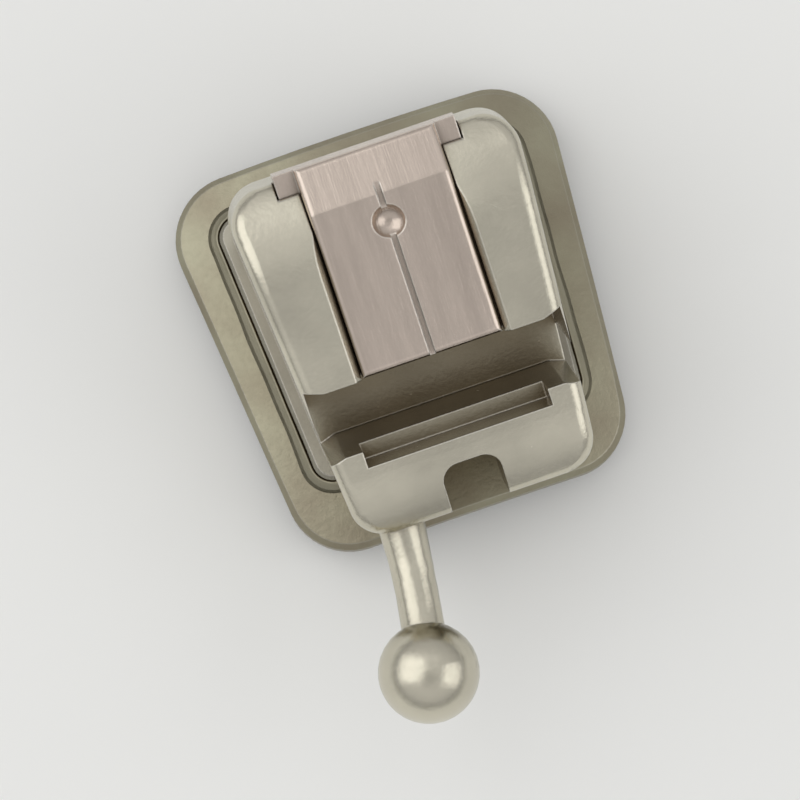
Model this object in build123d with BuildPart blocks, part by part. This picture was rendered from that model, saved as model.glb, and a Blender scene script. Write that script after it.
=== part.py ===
from build123d import *
from build123d.topology import topo_explore_connected_faces
from math import asin, cos, degrees, radians, sin, tan
import os

# Passive self-ligating bracket for a lower right second premolar, with a slide door and a ball hook.
# The origin is the middle of the pad's tooth side. +Z points from the tooth to the cheek, +Y to the
# biting edge, -Y to the gum, and +X to the front of the mouth. Millimetres and degrees.

# Archwire slot and prescription
slot_height = 0.559
slot_depth = 0.711
slot_flare = 0.05
slot_flare_length = 0.16
torque = 17.0

# Bonding pad: a curved foil with a wire mesh brazed to its tooth side
pad_height = 3.4
pad_width_bite = 3.5
pad_width_gum = 2.9
pad_corner = 0.55
pad_edge_chamfer = 0.05
tooth_radius_across = 5.0
tooth_radius_along = 12.0
foil_thickness = 0.2
mesh_thickness = 0.2
mesh_pitch = 0.32
mesh_wire = 0.14
mesh_rim = 0.1

# Body: foot, neck, slot block and tie wings. Places along the face are measured from the slot's middle
slot_place = -0.5
slot_floor = 1.0
foot_thickness = 0.1
foot_margin = 0.14
foot_corner = 0.2
foot_chamfer = 0.05
body_width_bite = 2.5
body_width_gum = 2.05
body_top = 1.1
body_round = 0.11
gum_neck = 0.62
gum_groove = 0.14
gum_shoulder = 0.5
gum_overhang = 0.42
bite_neck = 1.45
bite_groove = 0.04
bite_shoulder = 1.2
bite_overhang = 0.55
groove_radius = 0.24
wing_hook = 8.0
wing_tip = 0.34
wing_corner = 0.3
wing_gap = 0.5
wing_gap_floor = 0.3
wing_gap_round = 0.15

# Slide door and its track
door_width = 1.2
door_tongue = 0.18
door_tongue_thickness = 0.17
door_rib = 0.195
door_edge_round = 0.05
door_setback = 0.01
door_end_wall = 0.3
door_ramp = 0.38
door_ramp_drop = 0.12
door_clearance = 0.015
door_ledge = 0.14
track_chamfer = 0.05
dimple_radius = 0.16
dimple_depth = 0.08
dimple_place = 0.62
scribe_width = 0.05
scribe_depth = 0.03

# Spring pin, a slit tube pressed into the body under the door
pin_radius = 0.2
pin_wall = 0.07
pin_slit = 0.1
pin_depth = 0.75
pin_stand = 0.15
pin_top_clearance = 0.03
lobe_clearance = 0.015
neck_bite = 0.015

# Ball hook
hook_place = -0.66
hook_start = 0.45
hook_height = 0.66
hook_run = 1.62
hook_rise = 0.42
hook_lean = 0.2
hook_root = 0.26
hook_neck = 0.18
ball_radius = 0.42

# Frames: the body leans towards the gum by the torque angle, about the slot
bite_way = Vector(0, cos(radians(torque)), sin(radians(torque)))
cheek_way = Vector(0, -sin(radians(torque)), cos(radians(torque)))
slot_middle = Vector(0, slot_place, slot_floor)
plan_plane = Plane(slot_middle, x_dir=(1, 0, 0), z_dir=cheek_way)
side_plane = Plane(slot_middle, x_dir=bite_way, z_dir=(1, 0, 0))
track_plane = Plane(slot_middle, x_dir=(-1, 0, 0), z_dir=bite_way)

# Layers that follow the tooth are revolved about this axis, from past the pad's gum end
tooth_middle = Vector(0, 0, -tooth_radius_along)
tooth_axis = Axis(tooth_middle, (-1, 0, 0))
layer_turn = degrees(asin(pad_height / tooth_radius_along))
layer_start = Vector(0, -sin(radians(layer_turn)), cos(radians(layer_turn)))
layer_plane = Plane(tooth_middle, x_dir=(1, 0, 0), z_dir=Vector(1, 0, 0).cross(layer_start))
layer_reach = tooth_radius_across / 2
pad_top = mesh_thickness + foil_thickness
pad_width = max(pad_width_bite, pad_width_gum)

# Places and sizes that follow
half_slot = slot_height / 2
gum_reach = gum_neck + gum_overhang
bite_reach = bite_neck + bite_overhang
far = 4 * body_top
neck_depth = (slot_floor + bite_neck * sin(radians(torque))) / cos(radians(torque))
seat_width = door_width + 2 * door_tongue + 2 * door_clearance
door_floor = slot_depth + door_clearance
door_lead = half_slot + door_setback
door_travel = slot_height + door_ledge + door_setback - door_clearance
pin_place = (half_slot + bite_neck) / 2
lobe_radius = pin_radius + lobe_clearance
open_lobe = pin_place
shut_lobe = pin_place + door_travel
door_end = shut_lobe + lobe_radius + door_end_wall


def half_width(along):
    """Half the body's width at a place along the face."""
    share = (along + gum_reach) / (gum_reach + bite_reach)
    return (body_width_gum + (body_width_bite - body_width_gum) * share) / 2


def on_pad(along):
    """The Y at which a line across the body, at a place along the face, meets the pad."""
    return slot_place + along / cos(radians(torque)) + (slot_floor - pad_top) * tan(radians(torque))


def pad_corners(margin):
    """Corner points of the pad's outline, drawn in by a margin."""
    bite, gum = pad_width_bite / 2 - margin, pad_width_gum / 2 - margin
    half = pad_height / 2 - margin
    return [(-bite, half), (-gum, -half), (gum, -half), (bite, half)]


def draw_layer(low, high, seamless=False):
    """Draws, in the current sketch, the section of a layer between two heights above the tooth.

    A revolved circle has a seam along the pad's middle. A seamless layer takes ellipses of equal radii.
    """
    with Locations((0, tooth_radius_along - tooth_radius_across)):
        for height, mode in ((high, Mode.ADD), (low, Mode.SUBTRACT)):
            radius = tooth_radius_across + height
            if seamless:
                Ellipse(radius, radius, mode=mode)
            else:
                Circle(radius, mode=mode)
        Rectangle(
            2 * pad_width,
            2 * tooth_radius_across,
            align=(Align.CENTER, Align.MIN),
            mode=Mode.INTERSECT,
        )


def sharp_edges(part):
    """Edges of a part where its faces meet at a corner."""
    def turn(edge):
        one, other = (Face(face) for face in topo_explore_connected_faces(edge, part))
        return one.normal_at(edge @ 0.5).get_angle(other.normal_at(edge @ 0.5))
    return part.edges().filter_by(lambda edge: turn(edge) > 20)


# Bonding pad foil
with BuildPart() as base_pad:
    with BuildSketch(layer_plane):
        draw_layer(mesh_thickness, pad_top)
    revolve(axis=tooth_axis, revolution_arc=2 * layer_turn)
    with BuildSketch() as foil_outline:
        Polygon(*pad_corners(0), align=None)
        fillet(foil_outline.vertices(), pad_corner)
    extrude(amount=layer_reach, both=True, mode=Mode.INTERSECT)
    foil_face = base_pad.faces().sort_by(Axis.Z)[-1]
    chamfer(foil_face.edges(), pad_edge_chamfer)

# Wire mesh, as one wall with square gaps
with BuildPart() as base_mesh:
    with BuildSketch(layer_plane):
        draw_layer(0, mesh_thickness, seamless=True)
    revolve(axis=tooth_axis, revolution_arc=2 * layer_turn)
    with BuildSketch() as mesh_outline:
        Polygon(*pad_corners(0), align=None)
        fillet(mesh_outline.vertices(), pad_corner)
    extrude(amount=layer_reach, both=True, mode=Mode.INTERSECT)
    with BuildSketch() as gaps:
        Polygon(*pad_corners(mesh_rim), align=None)
        fillet(gaps.vertices(), pad_corner - mesh_rim)
        with GridLocations(mesh_pitch, 0, int(pad_width / mesh_pitch) + 1, 1):
            Rectangle(mesh_wire, pad_height, mode=Mode.SUBTRACT)
        with GridLocations(0, mesh_pitch, 1, int(pad_height / mesh_pitch) + 1):
            Rectangle(pad_width, mesh_wire, mode=Mode.SUBTRACT)
    whole_gap = (mesh_pitch - mesh_wire) ** 2
    open_gaps = gaps.faces().filter_by(lambda gap: gap.area > whole_gap / 3)
    extrude(open_gaps, amount=layer_reach, both=True, mode=Mode.SUBTRACT)

# Foot flange of the body, a layer on the pad's outer face
with BuildPart() as foot:
    with BuildSketch(layer_plane):
        draw_layer(pad_top, pad_top + foot_thickness)
    revolve(axis=tooth_axis, revolution_arc=2 * layer_turn)
    with BuildSketch() as foot_outline:
        gum_foot, bite_foot = on_pad(-gum_neck) - foot_margin, on_pad(bite_neck) + foot_margin
        gum_half, bite_half = half_width(-gum_neck) + foot_margin, half_width(bite_neck) + foot_margin
        Polygon(
            (-gum_half, gum_foot),
            (gum_half, gum_foot),
            (bite_half, bite_foot),
            (-bite_half, bite_foot),
            align=None,
        )
        fillet(foot_outline.vertices(), foot_corner)
    extrude(amount=layer_reach, both=True, mode=Mode.INTERSECT)
    chamfer(foot.faces().sort_by(Axis.Z)[-1].edges(), foot_chamfer)

# Centre line of the hook's stem, from inside the back gum wing to the ball
with BuildLine() as hook_line:
    hook_foot = Vector(hook_start - gum_reach, hook_height, hook_place)
    hook_end = hook_foot + Vector(-hook_run, hook_rise, -hook_lean)
    TangentArc(
        side_plane.from_local_coords(hook_foot), side_plane.from_local_coords(hook_end), tangent=-bite_way
    )
stem = hook_line.edge()

# Body, cut from a side profile and a plan outline
with BuildPart() as bracket_body:
    with BuildSketch(side_plane):
        with BuildLine():
            bite_arc = CenterArc(
                (bite_neck + groove_radius, bite_groove), groove_radius, 180, -90 - wing_hook
            )
            gum_arc = CenterArc(
                (-gum_neck - groove_radius, gum_groove), groove_radius, 0, 90 + wing_hook
            )
            bite_under = PolarLine(bite_arc @ 1, bite_overhang, -wing_hook)
            gum_under = PolarLine(gum_arc @ 1, gum_overhang, 180 + wing_hook)
            bite_tip = Line(bite_under @ 1, bite_under @ 1 + Vector(0, wing_tip))
            gum_tip = Line(gum_under @ 1, gum_under @ 1 + Vector(0, wing_tip))
            TangentArc((bite_shoulder, body_top), bite_tip @ 1, tangent=(1, 0))
            TangentArc((-gum_shoulder, body_top), gum_tip @ 1, tangent=(-1, 0))
            Line((-gum_shoulder, body_top), (bite_shoulder, body_top))
            Polyline(
                bite_arc @ 0, (bite_neck, -neck_depth), (-gum_neck, -neck_depth), gum_arc @ 0
            )
        make_face()
    extrude(amount=body_width_bite, both=True)
    with BuildSketch(plan_plane) as plan:
        Polygon(
            (-half_width(-gum_reach), -gum_reach),
            (half_width(-gum_reach), -gum_reach),
            (half_width(bite_reach), bite_reach),
            (-half_width(bite_reach), bite_reach),
            align=None,
        )
        fillet(plan.vertices(), wing_corner)
    extrude(amount=far, both=True, mode=Mode.INTERSECT)
    rims = sharp_edges(bracket_body.part)
    fillet(rims.sort_by(Axis(slot_middle, cheek_way))[4:], body_round)

    # Neck, cut to the pad's outer face, on its foot
    with BuildSketch(layer_plane):
        draw_layer(-slot_floor, pad_top)
    revolve(axis=tooth_axis, revolution_arc=2 * layer_turn, mode=Mode.SUBTRACT)
    add(foot.part)

    # Archwire slot, flared at both ends
    with BuildSketch(plan_plane):
        outlet = half_width(0)
        inlet = outlet - slot_flare_length
        flared = half_slot + slot_flare
        Polygon(
            (-outlet, -flared),
            (-inlet, -half_slot),
            (inlet, -half_slot),
            (outlet, -flared),
            (outlet, flared),
            (inlet, half_slot),
            (-inlet, half_slot),
            (-outlet, flared),
            align=None,
        )
    extrude(amount=far, mode=Mode.SUBTRACT)

    # Door track between the rails, with chamfered lips, and the door's seat in the gum wall
    with BuildSketch(track_plane):
        with Locations((0, slot_depth)):
            track_height = door_tongue_thickness + 2 * door_clearance
            Rectangle(seat_width, track_height, align=(Align.CENTER, Align.MIN))
            Rectangle(door_width + 2 * door_clearance, far, align=(Align.CENTER, Align.MIN))
        mouth = door_width / 2 + door_clearance
        Polygon(
            (-mouth, body_top - track_chamfer),
            (mouth, body_top - track_chamfer),
            (mouth + track_chamfer, body_top),
            (-mouth - track_chamfer, body_top),
            align=None,
        )
    extrude(amount=far, mode=Mode.SUBTRACT)
    with BuildSketch(track_plane):
        with Locations((0, slot_depth)):
            Rectangle(seat_width, far, align=(Align.CENTER, Align.MIN))
    extrude(amount=-half_slot - door_ledge, mode=Mode.SUBTRACT)

    # Gaps that part the wings
    with BuildSketch(plan_plane.offset(wing_gap_floor)) as gum_gap:
        with Locations((0, -gum_neck)):
            Rectangle(wing_gap, far, align=(Align.CENTER, Align.MAX))
        fillet(gum_gap.vertices().group_by(Axis.Y)[-1], wing_gap_round)
    extrude(amount=far, mode=Mode.SUBTRACT)
    with BuildSketch(plan_plane) as bite_gap:
        with Locations((0, bite_neck + wing_gap_round)):
            Rectangle(door_width, far, align=(Align.CENTER, Align.MIN))
        fillet(bite_gap.vertices().group_by(Axis.Y)[0], wing_gap_round)
    extrude(amount=far, mode=Mode.SUBTRACT)

    # Bore for the spring pin
    with BuildSketch(plan_plane.offset(slot_depth)):
        with Locations((0, pin_place)):
            Circle(pin_radius)
    extrude(amount=-pin_depth, mode=Mode.SUBTRACT)

    # Ball hook on the back gum wing, lofted along its curved stem
    for share, radius in ((0, hook_root), (0.45, hook_neck), (0.8, hook_neck), (1, hook_neck)):
        with BuildSketch(Plane(stem @ share, z_dir=stem % share)):
            Circle(radius)
    loft()
    with Locations(stem @ 1):
        Sphere(ball_radius)

# Slide door, drawn back from the slot
with BuildPart() as slide_door:
    with BuildSketch(track_plane.offset(door_lead)):
        with Locations((0, door_floor)):
            tongue_width = door_width + 2 * door_tongue
            Rectangle(tongue_width, door_tongue_thickness, align=(Align.CENTER, Align.MIN))
            Rectangle(door_width, door_tongue_thickness + door_rib, align=(Align.CENTER, Align.MIN))
    extrude(amount=door_end - door_lead)

    # Ramp at the door's far end, and rounds along its face
    face_height = door_floor + door_tongue_thickness + door_rib
    with BuildSketch(side_plane):
        Polygon(
            (door_end - door_ramp, face_height),
            (door_end, face_height - door_ramp_drop),
            (door_end, face_height),
            align=None,
        )
    extrude(amount=door_width, both=True, mode=Mode.SUBTRACT)
    outward = slide_door.faces().filter_by(lambda face: face.normal_at().dot(cheek_way) > 0.5)
    ramp_face, flat_face = outward.sort_by(Axis(slot_middle, cheek_way))[-2:]
    fillet(set(flat_face.edges() + ramp_face.edges()), door_edge_round)

    # Retaining groove in the underside, two lobes joined by a narrower neck
    with BuildSketch(plan_plane.offset(door_floor)):
        with Locations((0, open_lobe), (0, shut_lobe)):
            Circle(lobe_radius)
        with Locations((0, open_lobe)):
            Rectangle(
                2 * (pin_radius - neck_bite), door_travel, align=(Align.CENTER, Align.MIN)
            )
    extrude(amount=pin_stand + pin_top_clearance, mode=Mode.SUBTRACT)

    # Tool dimple and centre line on the face
    with BuildSketch(plan_plane.offset(face_height)):
        with Locations((0, door_lead)):
            Rectangle(scribe_width, door_end, align=(Align.CENTER, Align.MIN))
    extrude(amount=-scribe_depth, mode=Mode.SUBTRACT)
    dimple_middle = Vector(0, door_end - dimple_place, face_height + dimple_radius - dimple_depth)
    with Locations(plan_plane.from_local_coords(dimple_middle)):
        Sphere(dimple_radius, mode=Mode.SUBTRACT)

# Spring pin
with BuildPart() as spring_pin:
    with BuildSketch(plan_plane.offset(slot_depth - pin_depth)):
        with Locations((0, pin_place)):
            Circle(pin_radius)
            Circle(pin_radius - pin_wall, mode=Mode.SUBTRACT)
            Rectangle(pin_slit, far, align=(Align.CENTER, Align.MIN), mode=Mode.SUBTRACT)
    extrude(amount=pin_depth + pin_stand)

pieces = {
    "base_pad": base_pad,
    "base_mesh": base_mesh,
    "bracket_body": bracket_body,
    "slide_door": slide_door,
    "spring_pin": spring_pin,
}
os.makedirs("parts", exist_ok=True)
for name, piece in pieces.items():
    piece.part.label = name
    export_step(piece.part, f"parts/{name}.step")
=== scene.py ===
import math

import bpy
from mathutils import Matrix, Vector


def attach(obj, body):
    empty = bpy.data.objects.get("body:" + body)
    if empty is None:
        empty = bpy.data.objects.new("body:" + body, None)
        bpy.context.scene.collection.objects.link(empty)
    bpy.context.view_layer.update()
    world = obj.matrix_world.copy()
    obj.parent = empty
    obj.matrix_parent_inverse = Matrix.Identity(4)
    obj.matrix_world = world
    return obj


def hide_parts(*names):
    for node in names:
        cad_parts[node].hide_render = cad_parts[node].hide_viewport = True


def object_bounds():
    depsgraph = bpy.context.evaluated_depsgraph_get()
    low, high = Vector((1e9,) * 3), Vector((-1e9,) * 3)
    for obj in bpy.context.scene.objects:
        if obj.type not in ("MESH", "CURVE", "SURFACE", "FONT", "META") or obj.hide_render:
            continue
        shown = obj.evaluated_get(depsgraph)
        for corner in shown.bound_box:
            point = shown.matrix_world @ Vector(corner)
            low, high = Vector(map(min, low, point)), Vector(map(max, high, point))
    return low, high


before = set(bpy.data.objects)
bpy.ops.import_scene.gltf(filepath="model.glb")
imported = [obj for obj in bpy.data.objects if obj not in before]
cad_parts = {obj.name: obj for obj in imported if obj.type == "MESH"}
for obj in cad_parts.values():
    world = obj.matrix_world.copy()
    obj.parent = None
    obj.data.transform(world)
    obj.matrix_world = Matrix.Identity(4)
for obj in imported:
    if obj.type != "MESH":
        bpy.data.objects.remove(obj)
cad_low, cad_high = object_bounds()

# Metres in a millimetre. All sizes below are in millimetres
MM = 0.001

# The tooth's two radii and the pad that follows them, as in the part's source
TOOTH_ACROSS = 5.0
TOOTH_ALONG = 12.0
PAD_HALF_HEIGHT = 1.7
PAD_HALF_BITE = 1.75
PAD_HALF_GUM = 1.45
PAD_CORNER = 0.55
PAD_TOP = 0.4
CORNER_STEPS = 10

# The woven mesh: oval wires, and the fused edge round them
MESH_THICKNESS = 0.2
MESH_PITCH = 0.32
WIRE_HALF_WIDTH = 0.068
WIRE_HALF_HEIGHT = 0.05
WIRE_END_INSET = 0.024
WIRE_STEPS = 8
WIRE_SIDES = 10
EDGE_HALF_WIDTH = 0.036
EDGE_HALF_HEIGHT = 0.098
EDGE_INSET = 0.064
EDGE_STEP = 0.06

# The body's foot, and the braze round it
FOOT_GUM = -1.105
FOOT_BITE = 1.34
FOOT_HALF_GUM = 1.196
FOOT_HALF_BITE = 1.349
FOOT_CORNER = 0.2
BRAZE_WIDTH = 0.085
BRAZE_HEIGHT = 0.07
BRAZE_STEP = 0.03

# The braze's section, in shares of its width and height
BRAZE_SECTION = (
    (-0.03, -0.01),
    (1, -0.01),
    (1, 0.0),
    (0.7, 0.09),
    (0.4, 0.36),
    (0.15, 0.72),
    (-0.03, 1),
)

# Waves in the braze's width: depth, number round the foot, and start
BRAZE_WAVES = ((0.05, 7, 0.6), (0.03, 17, 2.1))

# What all the steels share: patches, grain, painted shade in the recesses, darkening near the pad,
# and worn edges
PATCH_SCALE = 1.4
PATCH_DETAIL = 4.0
PATCH_DARK = 0.86
PATCH_LIGHT = 1.08
PATCH_EDGES = (0.3, 0.7)
GRAIN_DETAIL = 6.0
GRAIN_ROUGHNESS = 0.65
GLOSS_SPREAD = (0.6, 1.5)
BUMP_STRENGTH = 0.6
# Painted shade: the colour is darkened and warmed in recesses, where shade falls, as found by an
# ambient occlusion probe
PAINTED_SHADE_REACH = 1.2
PAINTED_SHADE_EDGES = (0.3, 0.85)
PAINTED_SHADE_TINT = (1.18, 1.0, 0.76)
PAINTED_SHADE_SAMPLES = 8
# Between these heights the colour gets darker towards the pad
DARKENING_HEIGHTS = (0.42, 0.85)
WORN_STEEL = (0.78, 0.75, 0.69)
WORN_ROUND = 0.02
WORN_TURNS = (0.995, 0.93)
WORN_SAMPLES = 6

# Floor, lamps, sky and camera. A lamp has a name, azimuth, elevation, width and power in watts,
# and a stop of the sky has a height and a brightness
FLOOR_HALF = 400.0
FLOOR_COLOUR = (0.9, 0.9, 0.88)
FLOOR_ROUGHNESS = 0.6
LAMP_DISTANCE = 60.0
LAMPS = (
    ("key", -115, 48, 64, 0.0102),
    ("fill", 60, 35, 46, 0.005),
    ("top", 160, 78, 52, 0.0024),
)
SKY_STOPS = ((0.0, 0.24), (0.3, 0.6), (0.75, 0.72), (1.0, 0.42))
CAMERA_AZIMUTH = -19.0
CAMERA_ELEVATION = 84.0
CAMERA_LENS = 240.0
CAMERA_FILL = 0.8
CAMERA_CLIP = (1.0, 2000.0)


# Shapes
def tooth_point(x, y, above):
    """Point at a height above the tooth's curved face, in millimetres."""
    reach = TOOTH_ALONG - TOOTH_ACROSS + math.sqrt((TOOTH_ACROSS + above) ** 2 - x * x)
    return Vector((x, y, -TOOTH_ALONG + math.sqrt(reach * reach - y * y)))


def rounded_outline(corners, radius):
    """Outline of a polygon, listed anticlockwise, with its corners rounded."""
    points = []
    for index, corner in enumerate(corners):
        here = Vector(corner)
        before = (Vector(corners[index - 1]) - here).normalized()
        after = (Vector(corners[(index + 1) % len(corners)]) - here).normalized()
        half = before.angle(after) / 2
        middle = here + (before + after).normalized() * (radius / math.sin(half))
        start = here + before * (radius / math.tan(half)) - middle
        sweep = math.pi - 2 * half
        for step in range(CORNER_STEPS + 1):
            turn = sweep * step / CORNER_STEPS
            across = start.x * math.cos(turn) - start.y * math.sin(turn)
            along = start.x * math.sin(turn) + start.y * math.cos(turn)
            points.append(middle + Vector((across, along)))
    return points


def pad_outline(inset):
    """The pad's outline, drawn in by an inset."""
    bite, gum, half = PAD_HALF_BITE - inset, PAD_HALF_GUM - inset, PAD_HALF_HEIGHT - inset
    corners = [(-gum, -half), (gum, -half), (bite, half), (-bite, half)]
    return rounded_outline(corners, PAD_CORNER - inset)


def dense(outline, step):
    """An outline with more points along its straight sides."""
    points = []
    for one, two in zip(outline, outline[1:] + outline[:1]):
        pieces = max(1, round((two - one).length / step))
        points += [one.lerp(two, piece / pieces) for piece in range(pieces)]
    return points


def span(outline, axis, value):
    """Lowest and highest place where a line across an outline meets it."""
    other = 1 - axis
    hits = []
    for one, two in zip(outline, outline[1:] + outline[:1]):
        if (one[axis] - value) * (two[axis] - value) < 0:
            share = (value - one[axis]) / (two[axis] - one[axis])
            hits.append(one[other] + (two[other] - one[other]) * share)
    return (min(hits), max(hits)) if len(hits) > 1 else None


def tube(centres, ups, half_width, half_height, closed=False):
    """Vertices and faces of a tube with an oval section along a line of points."""
    count, sides = len(centres), WIRE_SIDES
    vertices, faces = [], []
    for index, centre in enumerate(centres):
        if closed:
            ahead = centres[(index + 1) % count] - centres[index - 1]
        else:
            ahead = centres[min(index + 1, count - 1)] - centres[max(index - 1, 0)]
        side = ahead.cross(ups[index]).normalized()
        rise = side.cross(ahead).normalized()
        for step in range(sides):
            turn = 2 * math.pi * step / sides
            out, up = half_width * math.cos(turn), half_height * math.sin(turn)
            vertices.append(centre + side * out + rise * up)
    rings = count if closed else count - 1
    for ring in range(rings):
        this, following = ring * sides, (ring + 1) % count * sides
        for step in range(sides):
            beside = (step + 1) % sides
            faces.append((this + step, this + beside, following + beside, following + step))
    if not closed:
        faces.append(tuple(reversed(range(sides))))
        faces.append(tuple(range((count - 1) * sides, count * sides)))
    return vertices, faces


def new_piece(name, parts, material, body):
    """One smooth mesh object from lists of vertices and faces in millimetres, riding on a body."""
    vertices, faces = [], []
    for some_vertices, some_faces in parts:
        start = len(vertices)
        vertices += [vertex * MM for vertex in some_vertices]
        faces += [tuple(start + index for index in face) for face in some_faces]
    mesh = bpy.data.meshes.new(name)
    mesh.from_pydata(vertices, [], faces)
    mesh.update()
    mesh.polygons.foreach_set("use_smooth", [True] * len(mesh.polygons))
    mesh.materials.append(material)
    piece = bpy.data.objects.new(name, mesh)
    bpy.context.scene.collection.objects.link(piece)
    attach(piece, body)
    return piece


# Materials
def add_noise(tree, place, scale, detail, roughness=0.5):
    """Noise over a surface, from 0 to 1."""
    node = tree.nodes.new("ShaderNodeTexNoise")
    node.inputs["Scale"].default_value = scale
    node.inputs["Detail"].default_value = detail
    node.inputs["Roughness"].default_value = roughness
    tree.links.new(place, node.inputs["Vector"])
    return node.outputs["Fac"]


def add_range(tree, value, before, after):
    """A value moved from one range of numbers to another."""
    node = tree.nodes.new("ShaderNodeMapRange")
    sockets = ("From Min", "From Max", "To Min", "To Max")
    for socket, number in zip(sockets, (*before, *after)):
        node.inputs[socket].default_value = number
    tree.links.new(value, node.inputs["Value"])
    return node.outputs["Result"]


def add_ramp(tree, value, edges, colours):
    """A colour that goes from one to another as a value goes from edge to edge."""
    node = tree.nodes.new("ShaderNodeValToRGB")
    for stop, edge, colour in zip(node.color_ramp.elements, edges, colours):
        stop.position = edge
        stop.color = [*colour, 1]
    tree.links.new(value, node.inputs["Fac"])
    return node.outputs["Color"]


def add_product(tree, one, two):
    """Two colours multiplied."""
    node = tree.nodes.new("ShaderNodeMix")
    node.data_type = "RGBA"
    node.blend_type = "MULTIPLY"
    node.inputs["Factor"].default_value = 1.0
    tree.links.new(one, node.inputs["A"])
    tree.links.new(two, node.inputs["B"])
    return node.outputs["Result"]


def steel(
    name,
    colour,
    roughness,
    grain,
    grain_depth,
    patch=None,
    stretch=(1, 1, 1),
    painted_shade=0.12,
    pad_darkening=1.0,
    wear=0.0,
):
    """Bare stainless steel.

    Patchy tone, fine grain, painted shade darkening and warming the recesses, darker towards the
    pad, and rounded edges worn bright.
    """
    material = bpy.data.materials.new(name)
    material.use_nodes = True
    tree = material.node_tree
    nodes, links = tree.nodes, tree.links
    shader = nodes["Principled BSDF"]
    shader.inputs["Metallic"].default_value = 1.0

    # Place on the piece in millimetres, drawn out along the grain
    texture = nodes.new("ShaderNodeTexCoord")
    scale = nodes.new("ShaderNodeMapping")
    scale.inputs["Scale"].default_value = [way / MM for way in stretch]
    links.new(texture.outputs["Object"], scale.inputs["Vector"])
    place = scale.outputs["Vector"]

    # Tone, with painted shade in the recesses, and darker towards the pad
    dark = patch or [part * PATCH_DARK for part in colour]
    light = [min(1, part * PATCH_LIGHT) for part in colour]
    patches = add_noise(tree, place, PATCH_SCALE, PATCH_DETAIL)
    tone = add_ramp(tree, patches, PATCH_EDGES, (dark, light))
    # Painted shade: an ambient occlusion probe darkens and warms the colour in the recesses
    shade_probe = nodes.new("ShaderNodeAmbientOcclusion")
    shade_probe.samples = PAINTED_SHADE_SAMPLES
    shade_probe.inputs["Distance"].default_value = PAINTED_SHADE_REACH * MM
    painted_shade_colour = [part * painted_shade for part in PAINTED_SHADE_TINT]
    painted_shade_ramp = add_ramp(tree, shade_probe.outputs["AO"], PAINTED_SHADE_EDGES, (painted_shade_colour, (1, 1, 1)))
    # Darker towards the pad, by height above it
    height = nodes.new("ShaderNodeSeparateXYZ")
    links.new(place, height.inputs["Vector"])
    near_pad = add_range(tree, height.outputs["Z"], DARKENING_HEIGHTS, (pad_darkening, 1))
    shaded_tone = add_product(tree, add_product(tree, tone, painted_shade_ramp), near_pad)

    # Edges, found where the rounded surface turns away from the sharp one
    soft_edge = nodes.new("ShaderNodeBevel")
    soft_edge.samples = WORN_SAMPLES
    soft_edge.inputs["Radius"].default_value = WORN_ROUND * MM
    surface = nodes.new("ShaderNodeNewGeometry")
    turned = nodes.new("ShaderNodeVectorMath")
    turned.operation = "DOT_PRODUCT"
    links.new(soft_edge.outputs["Normal"], turned.inputs[0])
    links.new(surface.outputs["Normal"], turned.inputs[1])
    edge = add_range(tree, turned.outputs["Value"], WORN_TURNS, (0, wear))
    bright = nodes.new("ShaderNodeMix")
    bright.data_type = "RGBA"
    links.new(edge, bright.inputs["Factor"])
    links.new(shaded_tone, bright.inputs["A"])
    bright.inputs["B"].default_value = [*WORN_STEEL, 1]
    links.new(bright.outputs["Result"], shader.inputs["Base Color"])

    # Grain, in the gloss and in the surface
    fine = add_noise(tree, place, grain, GRAIN_DETAIL, GRAIN_ROUGHNESS)
    gloss = add_range(tree, fine, (0, 1), [roughness * share for share in GLOSS_SPREAD])
    links.new(gloss, shader.inputs["Roughness"])
    bump = nodes.new("ShaderNodeBump")
    bump.inputs["Strength"].default_value = BUMP_STRENGTH
    bump.inputs["Distance"].default_value = grain_depth * MM
    links.new(fine, bump.inputs["Height"])
    links.new(soft_edge.outputs["Normal"], bump.inputs["Normal"])
    links.new(bump.outputs["Normal"], shader.inputs["Normal"])
    return material


# Each steel's recess number sets how dark the painted shade in its recesses gets
BODY_STEEL = steel(
    "body_steel",
    (0.62, 0.585, 0.48),
    roughness=0.22,
    grain=26,
    grain_depth=0.0038,
    painted_shade=0.27,
    pad_darkening=0.5,
    wear=0.55,
)
DOOR_STEEL = steel(
    "door_steel",
    (0.66, 0.565, 0.49),
    roughness=0.21,
    grain=10,
    grain_depth=0.006,
    stretch=(3, 0.2, 1),
    wear=0.6,
)
PAD_STEEL = steel(
    "pad_steel",
    (0.34, 0.322, 0.235),
    roughness=0.34,
    grain=20,
    grain_depth=0.008,
    patch=(0.275, 0.24, 0.175),
    painted_shade=0.35,
    wear=0.35,
)
BRAZE_STEEL = steel(
    "braze_steel",
    (0.37, 0.345, 0.26),
    roughness=0.32,
    grain=10,
    grain_depth=0.006,
    painted_shade=0.35,
)
MESH_STEEL = steel(
    "mesh_steel",
    (0.44, 0.425, 0.37),
    roughness=0.42,
    grain=24,
    grain_depth=0.006,
    painted_shade=0.2,
)
PIN_STEEL = steel(
    "pin_steel",
    (0.55, 0.53, 0.48),
    roughness=0.25,
    grain=12,
    grain_depth=0.003,
)

for node, material in (
    ("bracket_body", BODY_STEEL),
    ("slide_door", DOOR_STEEL),
    ("base_pad", PAD_STEEL),
    ("spring_pin", PIN_STEEL),
):
    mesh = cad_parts[node].data
    mesh.materials.clear()
    mesh.materials.append(material)


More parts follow.
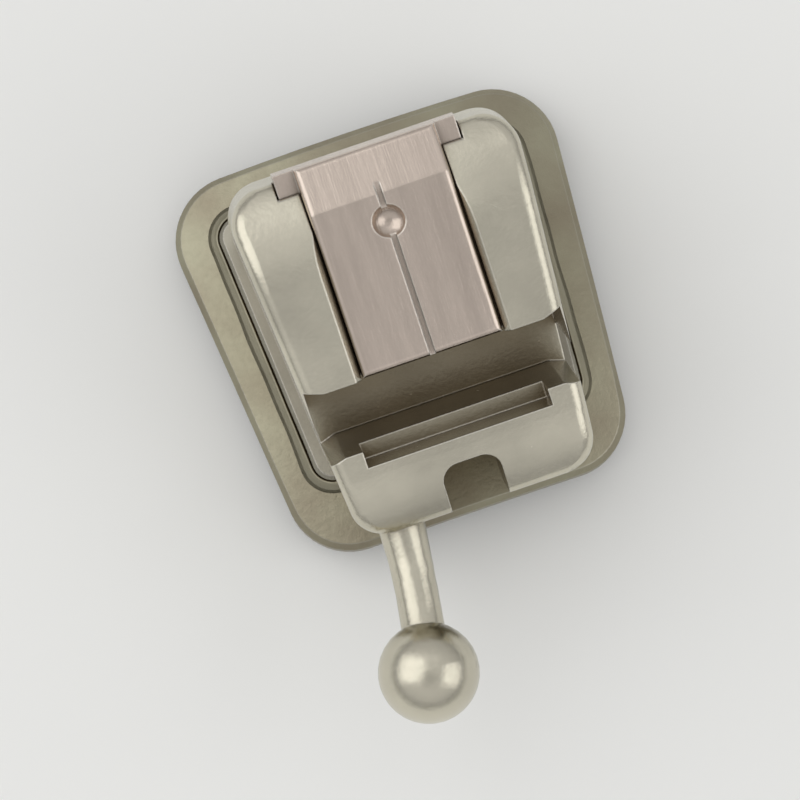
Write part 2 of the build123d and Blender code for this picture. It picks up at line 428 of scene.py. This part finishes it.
# Woven wire mesh of the pad
def weave():
    """Wires that pass over and under each other along the tooth's face, and their fused edge."""
    parts = []
    outline = pad_outline(WIRE_END_INSET)
    middle = MESH_THICKNESS / 2
    swing = middle - WIRE_HALF_HEIGHT
    count = int(PAD_HALF_HEIGHT / MESH_PITCH)
    for axis in (0, 1):
        for index in range(-count, count + 1):
            place = index * MESH_PITCH
            sides = [span(outline, axis, place + side * WIRE_HALF_WIDTH) for side in (-1, 1)]
            if None in sides:
                continue
            start, end = max(side[0] for side in sides), min(side[1] for side in sides)
            steps = max(WIRE_STEPS, round((end - start) / MESH_PITCH * WIRE_STEPS))
            centres = []
            for step in range(steps + 1):
                along = start + (end - start) * step / steps
                wave = swing * math.cos(math.pi * (along / MESH_PITCH + index))
                x, y = (place, along) if axis == 0 else (along, place)
                centres.append(tooth_point(x, y, middle + (wave if axis == 0 else -wave)))
            ups = [Vector((spot.x / TOOTH_ACROSS, spot.y / TOOTH_ALONG, 1)) for spot in centres]
            parts.append(tube(centres, ups, WIRE_HALF_WIDTH, WIRE_HALF_HEIGHT))
    edge_outline = dense(pad_outline(EDGE_INSET), EDGE_STEP)
    edge = [tooth_point(point.x, point.y, middle) for point in edge_outline]
    ups = [Vector((0, 0, 1))] * len(edge)
    parts.append(tube(edge, ups, EDGE_HALF_WIDTH, EDGE_HALF_HEIGHT, closed=True))
    return parts


woven_mesh = new_piece("woven_mesh", weave(), MESH_STEEL, "bracket")
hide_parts("base_mesh")


# Braze round the body's foot
def braze_ring():
    """A hollow-faced bead on the pad along the foot's edge, a little uneven in width."""
    corners = [
        (-FOOT_HALF_GUM, FOOT_GUM),
        (FOOT_HALF_GUM, FOOT_GUM),
        (FOOT_HALF_BITE, FOOT_BITE),
        (-FOOT_HALF_BITE, FOOT_BITE),
    ]
    outline = dense(rounded_outline(corners, FOOT_CORNER), BRAZE_STEP)
    count, sides = len(outline), len(BRAZE_SECTION)
    vertices, faces = [], []
    for index, point in enumerate(outline):
        ahead = (outline[(index + 1) % count] - outline[index - 1]).normalized()
        outward = Vector((ahead.y, -ahead.x))
        turn = 2 * math.pi * index / count
        waves = [deep * math.sin(number * turn + start) for deep, number, start in BRAZE_WAVES]
        width = BRAZE_WIDTH * (1 + sum(waves))
        for out, up in BRAZE_SECTION:
            spot = point + outward * (out * width)
            vertices.append(tooth_point(spot.x, spot.y, PAD_TOP + up * BRAZE_HEIGHT))
        here, following = index * sides, (index + 1) % count * sides
        for side in range(sides):
            beside = (side + 1) % sides
            faces.append((here + side, following + side, following + beside, here + beside))
    return [(vertices, faces)]


new_piece("foot_braze", braze_ring(), BRAZE_STEEL, "bracket")


# Floor, light and camera
def pale_floor(height):
    """A wide pale floor under the bracket."""
    half = FLOOR_HALF * MM
    corners = [(x * half, y * half, height) for x, y in ((-1, -1), (1, -1), (1, 1), (-1, 1))]
    mesh = bpy.data.meshes.new("floor")
    mesh.from_pydata(corners, [], [(0, 1, 2, 3)])
    material = bpy.data.materials.new("floor_paint")
    material.use_nodes = True
    shader = material.node_tree.nodes["Principled BSDF"]
    shader.inputs["Base Color"].default_value = (*FLOOR_COLOUR, 1)
    shader.inputs["Roughness"].default_value = FLOOR_ROUGHNESS
    mesh.materials.append(material)
    floor = bpy.data.objects.new("floor", mesh)
    bpy.context.scene.collection.objects.link(floor)


def aim(item, target):
    """Turns a lamp or camera towards a point."""
    item.rotation_mode = "QUATERNION"
    item.rotation_quaternion = (target - item.location).to_track_quat("-Z", "Y")


def direction(azimuth, elevation):
    """Unit vector from the object to a place round it, with azimuth 0 on the gum side."""
    turn, lift = math.radians(azimuth), math.radians(elevation)
    flat = math.cos(lift)
    return Vector((math.sin(turn) * flat, -math.cos(turn) * flat, math.sin(lift)))


def softbox(name, azimuth, elevation, width, power, centre):
    """A square area lamp at a fixed distance, facing the object."""
    data = bpy.data.lights.new(name, "AREA")
    data.size = width * MM
    data.energy = power
    lamp = bpy.data.objects.new(name, data)
    lamp.location = centre + direction(azimuth, elevation) * (LAMP_DISTANCE * MM)
    aim(lamp, centre)
    bpy.context.scene.collection.objects.link(lamp)


def sky():
    """A soft studio surround, brighter at mid height than overhead or at the horizon."""
    world = bpy.data.worlds.new("studio")
    world.use_nodes = True
    bpy.context.scene.world = world
    nodes, links = world.node_tree.nodes, world.node_tree.links
    place = nodes.new("ShaderNodeTexCoord")
    split = nodes.new("ShaderNodeSeparateXYZ")
    ramp = nodes.new("ShaderNodeValToRGB")
    links.new(place.outputs["Generated"], split.inputs["Vector"])
    links.new(split.outputs["Z"], ramp.inputs["Fac"])
    first, *between, last = SKY_STOPS
    ramp.color_ramp.elements[0].position, ramp.color_ramp.elements[1].position = first[0], last[0]
    ramp.color_ramp.elements[0].color = [first[1]] * 3 + [1]
    ramp.color_ramp.elements[1].color = [last[1]] * 3 + [1]
    for position, level in between:
        ramp.color_ramp.elements.new(position).color = [level] * 3 + [1]
    links.new(ramp.outputs["Color"], nodes["Background"].inputs["Color"])


def place_camera(centre):
    """Looks down on the bracket from the photograph's angle and fills the picture with it."""
    data = bpy.data.cameras.new("camera")
    data.lens = CAMERA_LENS
    data.clip_start, data.clip_end = [limit * MM for limit in CAMERA_CLIP]
    camera = bpy.data.objects.new("camera", data)
    way = direction(CAMERA_AZIMUTH, CAMERA_ELEVATION)
    turn = way.to_track_quat("Z", "Y")
    right, up = turn @ Vector((1, 0, 0)), turn @ Vector((0, 1, 0))
    points = [
        node.matrix_world @ vertex.co - centre
        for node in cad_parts.values()
        for vertex in node.data.vertices
    ]
    across = [point.dot(right) for point in points]
    along = [point.dot(up) for point in points]
    sideways, upwards = (min(across) + max(across)) / 2, (min(along) + max(along)) / 2
    target = centre + right * sideways + up * upwards
    half = max(max(across) - min(across), max(along) - min(along)) / 2
    distance = half / CAMERA_FILL * 2 * data.lens / data.sensor_width
    camera.location = target + way * distance
    aim(camera, target)
    bpy.context.scene.collection.objects.link(camera)
    bpy.context.scene.camera = camera


centre = (cad_low + cad_high) / 2
pale_floor(cad_low.z)
sky()
for lamp in LAMPS:
    softbox(*lamp, centre)
place_camera(centre)
bpy.context.scene.view_settings.view_transform = "Standard"
